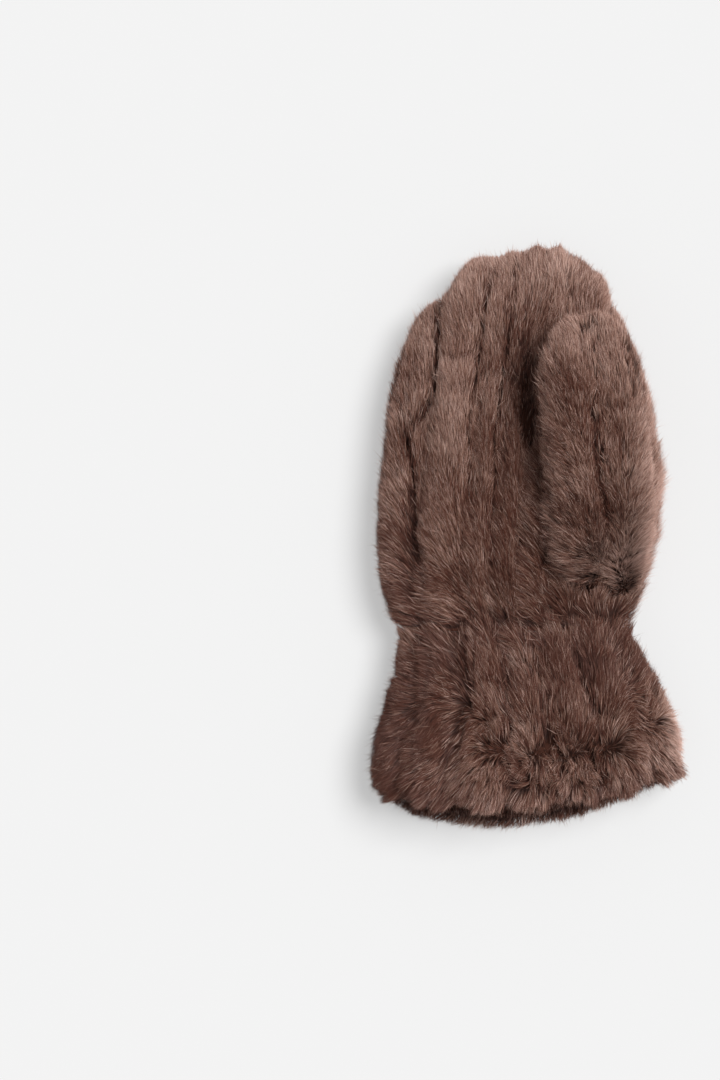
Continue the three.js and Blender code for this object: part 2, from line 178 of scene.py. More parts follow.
class FurSettings(bpy.types.PropertyGroup):
    """Lengths, counts and colours of the fur"""

    hand_length: bpy.props.FloatProperty(
        name="Hand hair", description="Length of the hairs on the hand", default=13 * MM, unit="LENGTH"
    )
    thumb_length: bpy.props.FloatProperty(
        name="Thumb hair", description="Length of the hairs on the thumb", default=12 * MM, unit="LENGTH"
    )
    cuff_length: bpy.props.FloatProperty(
        name="Cuff hair", description="Length of the hairs on the cuff", default=14 * MM, unit="LENGTH"
    )
    hem_length: bpy.props.FloatProperty(
        name="Hem hair", description="Length of the hairs on the hem", default=7 * MM, unit="LENGTH"
    )
    hair_width: bpy.props.FloatProperty(
        name="Hair width", description="Width of a hair at its thickest", default=0.27 * MM, unit="LENGTH"
    )
    lock_width: bpy.props.FloatProperty(
        name="Lock width", description="Width of a small lock of hairs", default=2.4 * MM, unit="LENGTH"
    )
    root_colour: bpy.props.FloatVectorProperty(
        name="Roots", description="Colour of the roots", default=(0.034, 0.011, 0.007), subtype="COLOR"
    )
    dark_colour: bpy.props.FloatVectorProperty(
        name="Dark hairs", description="Colour of the darkest hairs", default=(0.128, 0.041, 0.025),
        subtype="COLOR",
    )
    light_colour: bpy.props.FloatVectorProperty(
        name="Light hairs", description="Colour of the lightest tips", default=(0.76, 0.52, 0.443),
        subtype="COLOR",
    )


class ClothSettings(bpy.types.PropertyGroup):
    """Hide and backing under the fur"""

    voxel: bpy.props.FloatProperty(
        name="Mesh size", description="Size of the hide's faces", default=2 * MM, unit="LENGTH"
    )
    hide_depth: bpy.props.FloatProperty(
        name="Hide depth", description="Most that the hide lies under the tips", default=6.5 * MM,
        unit="LENGTH",
    )
    hide_colour: bpy.props.FloatVectorProperty(
        name="Hide", description="Colour of the felted under-wool", default=(0.046, 0.017, 0.011),
        subtype="COLOR",
    )
    backing_colour: bpy.props.FloatVectorProperty(
        name="Backing", description="Colour of the knitted backing inside", default=(0.085, 0.050, 0.038),
        subtype="COLOR",
    )


class StudioSettings(bpy.types.PropertyGroup):
    """Floor, lights and camera"""

    floor_colour: bpy.props.FloatVectorProperty(
        name="Floor", description="Colour of the floor", default=(0.38, 0.38, 0.38), subtype="COLOR"
    )
    floor_glow: bpy.props.FloatProperty(
        name="Floor glow", description="Light that the lit table gives off by itself", default=0.42
    )
    sky_strength: bpy.props.FloatProperty(
        name="Sky", description="Strength of the even light from all round", default=0.36
    )
    key_strength: bpy.props.FloatProperty(
        name="Key light", description="Strength of the light from the upper right", default=3.3
    )
    view_height: bpy.props.FloatProperty(
        name="View height", description="Length of table that the picture shows", default=518.4 * MM,
        unit="LENGTH",
    )
    view_centre: bpy.props.FloatVectorProperty(
        name="View centre", description="Place on the table under the camera", default=(-79 * MM, -1.7 * MM),
        size=2, subtype="XYZ", unit="LENGTH",
    )


# Small sums on arrays of points

def unit(vectors):
    """The vectors at length 1."""
    return vectors / np.maximum(np.linalg.norm(vectors, axis=-1, keepdims=True), 1e-9)


def blend(a, b, share):
    """From a to b by this share, for arrays of points with a share each."""
    return a + (b - a) * np.asarray(share)[..., None]


def rise(value, low, high):
    """0 below low and 1 above high, with a soft step between."""
    t = np.clip((value - low) / (high - low), 0, 1)
    return t * t * (3 - 2 * t)


def drift(points, size, seed):
    """A slow random field over space, about -1 to 1, that changes over roughly this size."""
    chance = np.random.default_rng(seed)
    ways = unit(chance.normal(size=(9, 3))) * chance.uniform(0.6, 1.6, (9, 1)) * (2 * math.pi / size)
    return np.sin(points @ ways.T + chance.uniform(0, 2 * math.pi, 9)).sum(1) / 3


def turned(vectors, axes, angles):
    """The vectors turned about axes at right angles to them."""
    return vectors * np.cos(angles)[:, None] + np.cross(axes, vectors) * np.sin(angles)[:, None]


def nearest(points, places):
    """For each place, the number of the nearest point."""
    tree = KDTree(len(points))
    for i, point in enumerate(points):
        tree.insert(point, i)
    tree.balance()
    return np.array([tree.find(place)[1] for place in places])


# Shader nodes

class Value:
    """A shader socket that takes part in sums as a number does."""

    def __init__(self, shader, socket):
        self.shader = shader
        self.socket = socket

    def _sum(self, operation, a, b):
        return self.shader.node("ShaderNodeMath", {"operation": operation}, {0: a, 1: b})

    def __add__(self, other):
        return self._sum("ADD", self, other)

    def __radd__(self, other):
        return self._sum("ADD", other, self)

    def __sub__(self, other):
        return self._sum("SUBTRACT", self, other)

    def __rsub__(self, other):
        return self._sum("SUBTRACT", other, self)

    def __mul__(self, other):
        return self._sum("MULTIPLY", self, other)

    def __rmul__(self, other):
        return self._sum("MULTIPLY", other, self)


class Finish:
    """A material under construction, with one Principled shader."""

    def __init__(self, name):
        self.material = bpy.data.materials.new(name)
        self.material.use_nodes = True
        self.tree = self.material.node_tree
        self.shader = self.tree.nodes["Principled BSDF"]

    def node(self, kind, settings=None, inputs=None, output=0):
        """Adds a node, with its settings first and then its sockets' values or links."""
        node = self.tree.nodes.new(kind)
        for key, value in (settings or {}).items():
            if key == "stops":
                ramp = node.color_ramp
                while len(ramp.elements) < len(value):
                    ramp.elements.new(0.5)
                for element, (place, colour) in zip(ramp.elements, value):
                    element.position = place
                    element.color = (*colour, 1)
            else:
                setattr(node, key, value)
        for key, value in (inputs or {}).items():
            self.put(node.inputs[key], value)
        return Value(self, node.outputs[output])

    def put(self, socket, value):
        """Gives a socket a value or a link."""
        if isinstance(value, Value):
            self.tree.links.new(value.socket, socket)
        elif socket.type == "RGBA":
            socket.default_value = (*value, 1)
        else:
            socket.default_value = value

    def mixed(self, share, a, b):
        """A colour between a and b."""
        return self.node(
            "ShaderNodeMix", {"data_type": "RGBA", "clamp_factor": True}, {0: share, 6: a, 7: b}, output=2
        )

    def places(self, size):
        """Object coordinates, scaled so that 1 is this length."""
        here = self.node("ShaderNodeTexCoord", output=3)
        return self.node("ShaderNodeVectorMath", {"operation": "SCALE"}, {0: here, 3: 1 / size})

    def noise(self, size, detail=3.0):
        """Soft noise of this size, 0 to 1."""
        return self.node(
            "ShaderNodeTexNoise",
            inputs={"Vector": self.places(size), "Scale": 1.0, "Detail": detail, "Roughness": 0.55},
        )

    def bumped(self, height, distance):
        """Raises the surface by height."""
        bump = self.node("ShaderNodeBump", inputs={"Height": height, "Distance": distance, "Strength": 1.0})
        self.put(self.shader.inputs["Normal"], bump)

    def surface(self, **sockets):
        """Sets the shader's sockets by name, with underscores for spaces."""
        for key, value in sockets.items():
            self.put(self.shader.inputs[key.replace("_", " ")], value)
        return self.material


def hair_finish(name, look, brightness=1.0):
    """Hair: dark at the root, its own brown along its length, and lighter at the tip."""
    finish = Finish(name)
    place = finish.node("ShaderNodeUVMap", {"uv_map": HAIR_MAP})
    tint = finish.node("ShaderNodeSeparateXYZ", inputs={0: place}, output=0)
    along = finish.node("ShaderNodeSeparateXYZ", inputs={0: place}, output=1)
    root, dark, light = (np.array(c) for c in (look.root_colour, look.dark_colour, look.light_colour))
    middle = (dark + (light - dark) * 0.42) * (1.0, 0.92, 0.825)
    browns = finish.node(
        "ShaderNodeValToRGB",
        {
            "stops": [
                (0.0, tuple(dark * 0.55 * brightness)),
                (0.35, tuple(dark * brightness)),
                (0.7, tuple(middle * brightness)),
                (1.0, tuple(light * brightness)),
            ]
        },
        {0: tint * 0.8 + along * 0.2},
    )
    lit = finish.node(
        "ShaderNodeMapRange",
        {"interpolation_type": "SMOOTHSTEP"},
        {0: along, 1: 0.1, 2: 0.8, 3: 0.0, 4: 1.0},
    )
    return finish.surface(
        Base_Color=finish.mixed(lit, tuple(root), browns),
        Roughness=0.68 - along * 0.15,
        Sheen_Weight=0.06,
        Sheen_Roughness=0.5,
        Sheen_Tint=(0.95, 0.72, 0.62),
        Specular_IOR_Level=0.35,
    )


def hide_finish(cloth):
    """Felted under-wool, which shows only as the dark between the locks."""
    finish = Finish("under_wool")
    wool = finish.noise(1.3 * MM, detail=4.0)
    patches = finish.noise(14 * MM)
    colour = np.array(cloth.hide_colour)
    base = finish.mixed(wool * 0.6 + patches * 0.4, tuple(colour * 0.6), tuple(colour * 1.6))
    finish.bumped(wool, 0.6 * MM)
    return finish.surface(Base_Color=base, Roughness=0.75 + wool * 0.2, Specular_IOR_Level=0.1)


def backing_finish(cloth):
    """Knitted backing of the fur cloth: fine ribs with a row of loops across each."""
    finish = Finish("knitted_backing")
    weave = {"Scale": 0.32, "Detail": 1.0, "Detail Scale": 1.4}
    loops = finish.node(
        "ShaderNodeTexWave",
        {"wave_type": "BANDS", "bands_direction": "X", "wave_profile": "SIN"},
        {"Vector": finish.places(1.5 * MM), "Distortion": 1.2, **weave},
    )
    rows = finish.node(
        "ShaderNodeTexWave",
        {"wave_type": "BANDS", "bands_direction": "Y", "wave_profile": "SIN"},
        {"Vector": finish.places(1.2 * MM), "Distortion": 0.8, **weave},
    )
    yarn = loops * 0.65 + rows * 0.35
    patches = finish.noise(11 * MM)
    colour = np.array(cloth.backing_colour)
    finish.bumped(yarn, 0.5 * MM)
    base = finish.mixed(yarn * 0.75 + patches * 0.25, tuple(colour * 0.55), tuple(colour * 1.35))
    return finish.surface(Base_Color=base, Roughness=0.78 + yarn * 0.15, Sheen_Weight=0.2)


def floor_finish(studio):
    """A matte pale table lit from within, with the faintest grain."""
    finish = Finish("pale_floor")
    grain = finish.noise(30 * MM)
    colour = np.array(studio.floor_colour)
    return finish.surface(
        Base_Color=finish.mixed(grain, tuple(colour * 0.99), tuple(colour)),
        Roughness=0.9,
        Specular_IOR_Level=0.1,
        Emission_Color=(1.0, 1.0, 1.0),
        Emission_Strength=studio.floor_glow,
    )


# The hide under the fur

class Form:
    """The outer form of one part of the mitten, and the hide that lies under it."""

    def __init__(self, name, nodes, core, cloth, meeting=None, furred=None, shape=None):
        bm = bmesh.new()
        for node in nodes:
            bm.from_mesh(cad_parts[node].data)
        bmesh.ops.remove_doubles(bm, verts=bm.verts, dist=1e-6)
        if meeting is not None:
            inside = [f for f in bm.faces if all(abs(v.co.z - meeting) < 0.02 * MM for v in f.verts)]
            bmesh.ops.delete(bm, geom=inside, context="FACES")
            bmesh.ops.remove_doubles(bm, verts=bm.verts, dist=0.05 * MM)
        mesh = bpy.data.meshes.new(name)
        bm.to_mesh(mesh)
        bm.free()
        rough = bpy.data.objects.new(name + "_form", mesh)
        bpy.context.scene.collection.objects.link(rough)
        even = rough.modifiers.new("even", "REMESH")
        even.mode = "VOXEL"
        even.voxel_size = cloth.voxel
        soft = rough.modifiers.new("soft", "SMOOTH")
        soft.factor = 0.5
        soft.iterations = 3
        seen = rough.evaluated_get(bpy.context.evaluated_depsgraph_get())
        self.mesh = bpy.data.meshes.new_from_object(seen)
        bpy.data.objects.remove(rough)
        self.nodes = nodes
        self.name = name
        self.edges = read(self.mesh.edges, "vertices", 2, np.int32)
        self.tips = read(self.mesh.vertices, "co", 3)
        if shape is not None:
            self.tips = shape(self)
            self.mesh.vertices.foreach_set("co", self.tips.astype(np.float32).ravel())
            self.mesh.update()
        self.normals = read(self.mesh.vertex_normals, "vector", 3)
        self.mesh.calc_loop_triangles()
        self.faces = read(self.mesh.loop_triangles, "vertices", 3, np.int32)
        facing = np.einsum("ij,ij->i", self.normals, self.tips - core(self.tips))
        self.outer = facing > 0 if furred is None else furred(self.tips, self.normals, facing)
        from_seam = np.abs(self.tips[:, 1] - WRIST_SEAM)
        cut = (np.abs(self.normals[:, 1]) > 0.6) & (from_seam < 1.7 * MM)
        self.outer &= ~cut
        self.cut = cut
        self.normals[:, 1] *= rise(from_seam, 2 * MM, 7 * MM)
        self.normals = unit(self.normals)
        self.tree = BVHTree.FromPolygons(self.tips.tolist(), self.faces.tolist())
        self.depths = self.soften(self.room_below() * 0.55, 4)
        self.depths = np.clip(self.depths, 0.6 * MM, cloth.hide_depth)
        self.depths[~self.outer] = 0
        steps = -self.normals * self.depths[:, None]
        steps[:, 2] = np.minimum(np.maximum(steps[:, 2], -self.tips[:, 2] + 2.2 * MM), 9 * MM)
        for axis in range(3):
            eased = self.soften(steps[:, axis], 30, cut)
            steps[cut, axis] = eased[cut]
        self.roots = self.tips + steps
        self.depths = np.linalg.norm(steps, axis=1)

    def room_below(self):
        """How thick the form is under each outer point."""
        room = np.zeros(len(self.tips))
        for i in np.flatnonzero(self.outer):
            start = Vector(self.tips[i] - self.normals[i] * 0.2 * MM)
            hit = self.tree.ray_cast(start, Vector(-self.normals[i]), 30 * MM)
            room[i] = hit[3] if hit[3] is not None else 2 * MM
        return room

    def soften(self, values, rounds, only=None):
        """Values on the points, each drawn towards its neighbours' mean, on all points or on some only."""
        a, b = self.edges.T
        count = np.maximum(np.bincount(np.concatenate([a, b]), minlength=len(values)), 1)
        for _ in range(rounds):
            near = np.bincount(a, values[b], len(values)) + np.bincount(b, values[a], len(values))
            eased = values * 0.4 + near / count * 0.6
            values = eased if only is None else np.where(only, eased, values)
        return values

    def piece(self, materials):
        """The hide as an object, furred side first and backing second."""
        self.mesh.vertices.foreach_set("co", self.roots.astype(np.float32).ravel())
        self.mesh.materials.clear()
        for material in materials:
            self.mesh.materials.append(material)
        inner = [int(not any(self.outer[v] for v in face.vertices)) for face in self.mesh.polygons]
        self.mesh.polygons.foreach_set("material_index", inner)
        self.mesh.polygons.foreach_set("use_smooth", [True] * len(inner))
        self.mesh.update()
        hide = bpy.data.objects.new(self.name + "_hide", self.mesh)
        bpy.context.scene.collection.objects.link(hide)
        return hide

    def scatter(self, count, seed, weight):
        """Places on the hide for hairs to grow from: places, normals and the depth of fur there."""
        chance = np.random.default_rng(seed)
        faces = self.faces[self.outer[self.faces].all(axis=1)]
        corners = self.tips[faces]
        middles = corners.mean(axis=1)
        across = np.cross(corners[:, 1] - corners[:, 0], corners[:, 2] - corners[:, 0])
        share = np.linalg.norm(across, axis=1) * weight(middles, unit(across))
        pick = faces[chance.choice(len(faces), count, p=share / share.sum())]
        a, b = chance.random((2, count))
        over = a + b > 1
        a[over], b[over] = 1 - a[over], 1 - b[over]
        shares = np.stack([1 - a - b, a, b], axis=1)[..., None]
        places = (self.roots[pick] * shares).sum(axis=1)
        normals = unit((self.normals[pick] * shares).sum(axis=1))
        depths = (self.depths[pick] * shares[..., 0]).sum(axis=1)
        return places, normals, depths


def read(items, field, width, kind=np.float32):
    """A field of a mesh's items as an array."""
    values = np.empty(len(items) * width, kind)
    items.foreach_get(field, values)
    return values.reshape(-1, width).astype(float if kind is np.float32 else kind)


def full_fingertips(form):
    """The hand with the strips' ends run together at the fingertips."""
    high = form.tips[:, 1] > 86 * MM
    tips = form.tips.copy()
    for axis in range(3):
        tips[:, axis] = form.soften(tips[:, axis], 16, high)
    out = unit(tips - hand_core(tips))
    return tips + out * (1.5 * MM * rise(tips[:, 1], 86 * MM, 108 * MM))[:, None]


def round_corner(form):
    """The cuff with its left corner rounded off, and its upper edge drawn back from where the locks end."""
    size = 23 * MM
    tips = form.tips.copy()
    a = np.clip((size - tips[:, 0] - 75 * MM) / size, 0, 1.25)
    b = np.clip((size - tips[:, 1] - 128.5 * MM) / size, 0, 1.25)
    tips[:, 0] += size * a * (1 - np.sqrt(1 - b**2 / 2))
    tips[:, 1] += size * b * (1 - np.sqrt(1 - a**2 / 2))
    if form.name == "cuff":
        most = 4.5 - 3 * rise(tips[:, 0], 5 * MM, 45 * MM)
        tips[:, 1] += most * MM * rim(tips) * rise(tips[:, 2], 20 * MM, 28 * MM)
    return tips


def hem_side(tips, normals, facing):
    """The hem's fur faces the hollow and the mouth."""
    return (facing < 0) | (normals[:, 1] < -0.3)


def cuff_side(tips, normals, facing):
    """The cuff's fur is outside and goes round the rim as far as the hem's edge."""
    hem = forms["hem"].tree
    inner = (facing <= 0) & (tips[:, 1] < MOUTH_END)
    lip = [i for i in np.flatnonzero(inner) if hem.find_nearest(tips[i], 1.6 * MM)[0] is None]
    furred = facing > 0
    furred[lip] = True
    return furred


def hand_core(points):
    """The nearest place in the middle of the hand's hollow."""
    core = points.copy()
    core[:, 0] = np.clip(core[:, 0], -45 * MM, 38 * MM)
    core[:, 1] = np.minimum(core[:, 1], 108 * MM)
    core[:, 2] = SIDE_SEAM
    return core


def cuff_core(points):
    """The nearest place in the middle of the cuff's hollow."""
    core = points.copy()
    core[:, 0] = np.clip(core[:, 0], -45 * MM, 45 * MM)
    core[:, 2] = CUFF_MIDDLE
    return core


def on_thumb_line(points):
    """The nearest place on the thumb's middle line, and the way that the line runs there."""
    best = np.full(len(points), np.inf)
    core, ahead = np.zeros_like(points), np.zeros_like(points)
    for a, b in zip(THUMB_LINE[:-1], THUMB_LINE[1:]):
        share = np.clip((points - a) @ (b - a) / ((b - a) @ (b - a)), 0, 1)
        place = a + share[:, None] * (b - a)
        gap = np.linalg.norm(points - place, axis=1)
        closer = gap < best
        best[closer] = gap[closer]
        core[closer] = place[closer]
        ahead[closer] = unit(b - a)
    return core, ahead


def thumb_core(points):
    return on_thumb_line(points)[0]


# The way that the hairs lie

def furrowed(points, normals, furrows):
    """How furrows bear on each place.

    Gives how deep in a furrow it is and how near to one, both 0 to 1, the way that the furrow runs there and
    the way out of it.
    """
    depth, near = np.zeros(len(points)), np.zeros(len(points))
    along, out = np.zeros_like(points), np.zeros_like(points)
    top = rise(normals[:, 2], -0.1, 0.35)
    top = top * (1 - 0.65 * rise(points[:, 1], 104 * MM, 124 * MM))
    uneven = np.clip(0.9 + 0.35 * drift(points, 19 * MM, 17), 0.6, 1)
    wander = np.stack([drift(points, 21 * MM, 15), drift(points, 21 * MM, 16)], axis=1) * 0.7 * MM
    flat = points[:, :2] + wander
    for width, deep, line in furrows:
        line = np.array(line) * MM
        for a, b in zip(line[:-1], line[1:]):
            share = np.clip((flat - a) @ (b - a) / ((b - a) @ (b - a)), 0, 1)
            off = flat - a - share[:, None] * (b - a)
            gap = np.linalg.norm(off, axis=1)
            here = deep * np.exp(-((gap / (width * 0.85 * MM)) ** 2)) * top * uneven
            depth = np.maximum(depth, here)
            beside = np.exp(-((gap / (5 * MM)) ** 2)) * top * deep
            closer = beside > near
            near[closer] = beside[closer]
            along[closer, :2] = unit(b - a)
            out[closer, :2] = unit(off)[closer]
    return depth, near, along, out


def short_of_furrows(roots, tips, normals, furrows):
    """The share of its length that each hair keeps so that it doesn't lie across a furrow."""
    room = np.ones(len(roots))
    for share, kept in ((1.0, 0.85), (0.8, 0.7), (0.6, 0.6)):
        depth = furrowed(blend(roots, tips, np.full(len(roots), share)), normals, furrows)[0]
        room = np.minimum(room, 1 - (1 - kept) * rise(depth, 0.3, 0.85))
    return room


def heading(angles):
    """Level directions, turned from the fingertips' way to the left by these angles."""
    return np.stack([-np.sin(angles), np.cos(angles), np.zeros(len(angles))], axis=1)


def hand_flow(points, normals):
    """To the fingertips, splayed out towards both edges."""
    x, y = points[:, 0] / MM, points[:, 1] / MM
    left, right = -(x + 4) / 66, (x + 4) / 66
    low, tips = rise(-y, -28, 22), rise(y, 82, 124)
    palm = 6 * rise(left, 0.1, 0.6) + low * (17 + 45 * rise(left, 0.1, 0.72))
    edge = (48 + 32 * rise(-y, -20, 25)) * rise(left, 0.70, 1.0)
    degrees = np.maximum(palm, edge) - 8 * rise(right, 0.1, 0.6) - 30 * rise(right, 0.74, 1.0)
    degrees = degrees + tips * (44 * left + 6)
    degrees = degrees + 30 * rise(x, -14, 0) * (1 - rise(x, 16, 24)) * (1 - rise(y, 28, 46))
    degrees = degrees - 14 * rise(x, 20, 54) * rise(-y, 10, 24)
    return heading(np.radians(degrees))


def thumb_flow(points, normals):
    """To the thumb's tip and fanned to both sides, most of all at its base."""
    core, ahead = on_thumb_line(points)
    x, y = points[:, 0] / MM, points[:, 1] / MM
    left = rise(core[:, 0] - points[:, 0], 2 * MM, 20 * MM)
    right = rise(points[:, 0] - core[:, 0], 6 * MM, 22 * MM)
    low = 1 - rise(y, -8, 48)
    beside = x + 1.5 * drift(points, 9 * MM, 95) - np.interp(y, (-20, -2, 10, 37), (39, 39, 35, 31))
    turn = rise(-y + 3 * drift(points, 10 * MM, 94), -8, 18)
    degrees = 12 + 8 * low * (1 - right) + (22 + 24 * low) * left - (24 + 68 * low) * right
    degrees = degrees + (np.interp(beside, (-22, -6, 8, 22), (58, 38, 6, -62)) - degrees) * turn
    way = heading(np.radians(degrees))
    way[:, 2] = ahead[:, 2] * 0.4 * (1 - turn)
    whorl = points[:, :2] - np.array([25.5, 93.0]) * MM
    gap = np.linalg.norm(whorl, axis=1)
    way[:, :2] += whorl / np.maximum(gap, 1e-6)[:, None] * (1.1 * np.exp(-((gap / (8 * MM)) ** 2)))[:, None]
    firm = 1 - 0.2 * np.exp(-(((beside - 7) / 8) ** 2)) * turn
    return unit(way) * firm[:, None]


def cuff_flow(points, normals):
    """Up over the wrist's seam, out at both sides and down at the rim, standing up where it turns over."""
    x, y = points[:, 0] / MM, points[:, 1] / MM
    left = x + 7 * drift(points, 12 * MM, 91) - 18 + 0.15 * (y + 60) < 0
    side = np.where(left, 1, -1)
    share = np.clip(np.where(left, (28 - x) / 92, (x - 26) / 40), 0, 1.1)
    at_wrist = heading(np.radians(side * (8 + np.where(left, 62, 40) * share**1.3)))
    at_rim = heading(np.radians(side * (180 - np.where(left, 56, 42) * share**1.3)))
    middle = 1 - rise(share, 0.2, 0.75)
    uneven = 9 * drift(points, 22 * MM, 92) + 13 * middle * drift(points, 7 * MM, 96)
    turn = rise(-y + uneven, 62 + 22 * middle, 112 + 8 * middle)
    way = blend(at_wrist, at_rim, turn)
    return way * np.maximum(1, 0.12 / np.maximum(np.linalg.norm(way, axis=1), 1e-3))[:, None]


def hem_flow(points, normals):
    """Out of the mouth and a little across it."""
    way = np.zeros_like(points)
    way[:, 1] = -0.8
    return way


def leaning(roots, normals, depths, flow, length, lean, spread):
    """The middle and the end of a hair from each root, as steps from the root.

    Where the flow is shorter than 1 the hair stands up more.
    length is the full length, which shortens where the fur is shallow. lean is how far the hair's tip stands
    past the form. spread is how far its direction strays, in radians.
    """
    height = np.maximum(depths + lean, 0.6 * MM)
    length = length * (0.6 + 0.4 * rise(depths, 0.8 * MM, 5.0 * MM))
    upright = np.clip(height / length, 0.1, 0.92)
    firm = np.clip(np.linalg.norm(flow, axis=1), 0, 1)
    flow = unit(flow)
    inward = np.maximum(-np.einsum("ij,ij->i", flow, normals), 0)
    way = flow + normals * inward[:, None] + np.array([0, 0, 0.5]) * inward[:, None] ** 2
    across = np.cross(normals, unit(way))
    way = way + across * np.tan(np.clip(spread, -1.2, 1.2))[:, None]
    outward = np.einsum("ij,ij->i", way, normals)
    flat = way - normals * outward[:, None]
    strength = np.clip(np.linalg.norm(flat, axis=1) + 4 * np.maximum(0.1 - outward, 0), 0, 1) * firm
    flat = unit(flat)

    def step(up):
        up = np.clip(up, 0.04, 0.98)
        up = up + (1 - up) * (1 - strength) * 0.8
        level = np.sqrt(np.maximum(1 - up**2, 0))
        return normals * up[:, None] + flat * level[:, None]

    first = step(upright * 1.4) * (length * 0.5)[:, None]
    end = first + step(upright * 0.6) * (length * 0.5)[:, None]
    fit = np.minimum(height / np.maximum(np.einsum("ij,ij->i", end, normals), 1e-6), 1)[:, None]
    return first * fit, end * fit


def drawn_back(points, reach):
    """The points, with those that stand past the mitten's form by more than their reach drawn back to it."""
    outline = forms["outline"]
    kept = points.copy()
    for i, point in enumerate(points):
        place, normal, face, gap = outline.find_nearest(point)
        off = Vector(point) - place
        if gap > reach[i] and off.dot(normal) > 0:
            kept[i] = place + off * (reach[i] / gap)
    return kept


def grown_fur(
    name, form, count, length, flow, look, seed, weight, keep=None, furrows=(), pull=(0.2, 0.1), tone_and_painted_light=None,
    tousle=None, over=None,
):
    """Hairs from scattered roots, drawn together in small locks and those in larger ones.

    flow gives the way that the hairs lie, weight how thick they stand, keep the places where any stand and
    tone how pale they are, from their own colour and from painted light and shade. tousle is how much they
    stray, pull how far each lock draws its hairs together and over how far the longest locks reach past the
    form, in millimetres.
    """
    chance = np.random.default_rng(seed)
    roots, normals, depths = form.scatter(count, seed + 1, weight)
    if keep is not None:
        kept = keep(roots, normals)
        roots, normals, depths = roots[kept], normals[kept], depths[kept]
    valley, beside, along, out = furrowed(roots, normals, furrows)
    kept = chance.random(len(roots)) > 0.6 * valley**2
    roots, normals, depths = roots[kept], normals[kept], depths[kept]
    valley, beside, along, out = valley[kept], beside[kept][:, None], along[kept], out[kept]
    count = len(roots)
    flows = flow(roots, normals)
    along = along * np.sign(np.einsum("ij,ij->i", along, flows))[:, None]
    firm = np.linalg.norm(flows, axis=1, keepdims=True)
    flows = unit(flows * (1 - 0.7 * beside) + along * 0.7 * beside + out * 0.2 * beside) * firm
    swirl = 0.16 * drift(roots, 34 * MM, seed + 2) + 0.12 * drift(roots, 12 * MM, seed + 3)
    swirl = swirl * (1 - 0.7 * beside[:, 0])
    rough = np.ones(count) if tousle is None else tousle(roots)
    sink = -valley * depths * 0.75 + 0.7 * MM * drift(roots, 10 * MM, seed + 7)
    length = length * (1 - 0.5 * valley)

    small = lock_of(roots, form, look.lock_width, seed + 4, weight)
    large = lock_of(roots, form, look.lock_width * 3.2, seed + 5, weight)
    at_rim = rim(roots) if name == "cuff_fur" else np.zeros(count)
    hang = (1 if over is None else over(roots, normals)) * MM * chance.random(large.max() + 1)[large]
    hang = hang * (over is not None)
    sink = sink + hang * np.clip(np.einsum("ij,ij->i", flows, normals), 0, 1)
    length = length + hang * 0.6
    ends = []
    for lock, stray in ((small, 0.13), (large, 0.12)):
        number = lock.max() + 1
        lead = np.full(number, -1)
        lead[lock[::-1]] = np.arange(count)[::-1]
        lead = lead[lock]
        lone = np.clip(chance.normal(size=number)[lock] * stray * rough[lead], -1.3, 1.3)
        reach = (-0.9 + 1.5 * chance.random(number))[lock] * MM
        size = chance.uniform(0.85, 1.12, number)[lock]
        end = leaning(
            roots[lead], normals[lead], depths[lead], flows[lead], length * size, reach + sink,
            lone + swirl[lead],
        )[1]
        ends.append((roots[lead], end, lone, reach, size))

    own = chance.normal(size=count) * 0.19
    at_side = 0.1 * (1 - rise(np.abs(normals[:, 2]), 0.2, 0.6))
    at_side = at_side * (1 - 0.7 * rise(roots[:, 1], 92 * MM, 112 * MM))
    stray = chance.random(count) < 0.025 + at_side
    reach = ends[0][3] + chance.normal(size=count) * 0.8 * MM + stray * 1.8 * MM
    size = ends[0][4] * chance.uniform(0.8, 1.1, count)
    mid, end = leaning(
        roots, normals, depths, flows, length * size, reach + sink,
        own + ends[0][2] * 0.8 + swirl + stray * own * 2,
    )
    tips = roots + end
    draw = chance.uniform(pull[0] * 0.5, pull[0] * 1.5, small.max() + 1)[small] * (1 - 0.8 * stray)
    pulled = blend(tips, ends[0][0] + ends[0][1] + (roots - ends[0][0]) * 0.3, draw)
    draw = (pull[1] + 0.4 * at_rim) * (1 - 0.8 * stray)
    pulled = blend(pulled, ends[1][0] + ends[1][1] + (roots - ends[1][0]) * 0.5, draw)
    bend = roots + mid + (pulled - tips) * 0.35
    if furrows:
        room = short_of_furrows(roots, pulled, normals, furrows)
        pulled, bend = blend(roots, pulled, room), blend(roots, bend, room)
    if name not in ("hem_fur", "rim_fur"):
        past = np.maximum(reach, 0) + 0.3 * MM + stray * chance.random(count) * 3.6 * MM
        past = past + hang
        pulled, bend = drawn_back(pulled, past), drawn_back(bend, past)
    guard = chance.random(count) < 0.2
    tint = 0.33 + 0.11 * drift(roots, 26 * MM, seed + 6) + chance.normal(size=small.max() + 1)[small] * 0.07
    # Hairs deep in a furrow are painted darker, as painted shade.
    tint = tint + chance.normal(size=count) * 0.22 + guard * chance.uniform(0.25, 0.85, count) - 0.5 * valley
    # Paler and darker by place, from the fur's own colour and from painted light and shade.
    if tone_and_painted_light is not None:
        tint = tint + tone_and_painted_light(roots, normals)
    tint = np.clip(tint, 0.02, 0.98)
    widths = look.hair_width * chance.uniform(0.7, 1.2, count) * (1 - 0.3 * (stray | guard))
    return hair_mesh(name, roots, bend, pulled, normals, widths, tint, chance)


def lock_of(roots, form, width, seed, weight):
    """The number of the lock that each root belongs to."""
    faces = form.faces[form.outer[form.faces].all(axis=1)]
    corners = form.tips[faces]
    across = np.cross(corners[:, 1] - corners[:, 0], corners[:, 2] - corners[:, 0])
    area = np.linalg.norm(across, axis=1).sum() / 2
    count = max(int(area / width**2), 8)
    middles = form.scatter(count, seed, weight)[0]
    lock = nearest(middles, roots)
    return np.unique(lock, return_inverse=True)[1]


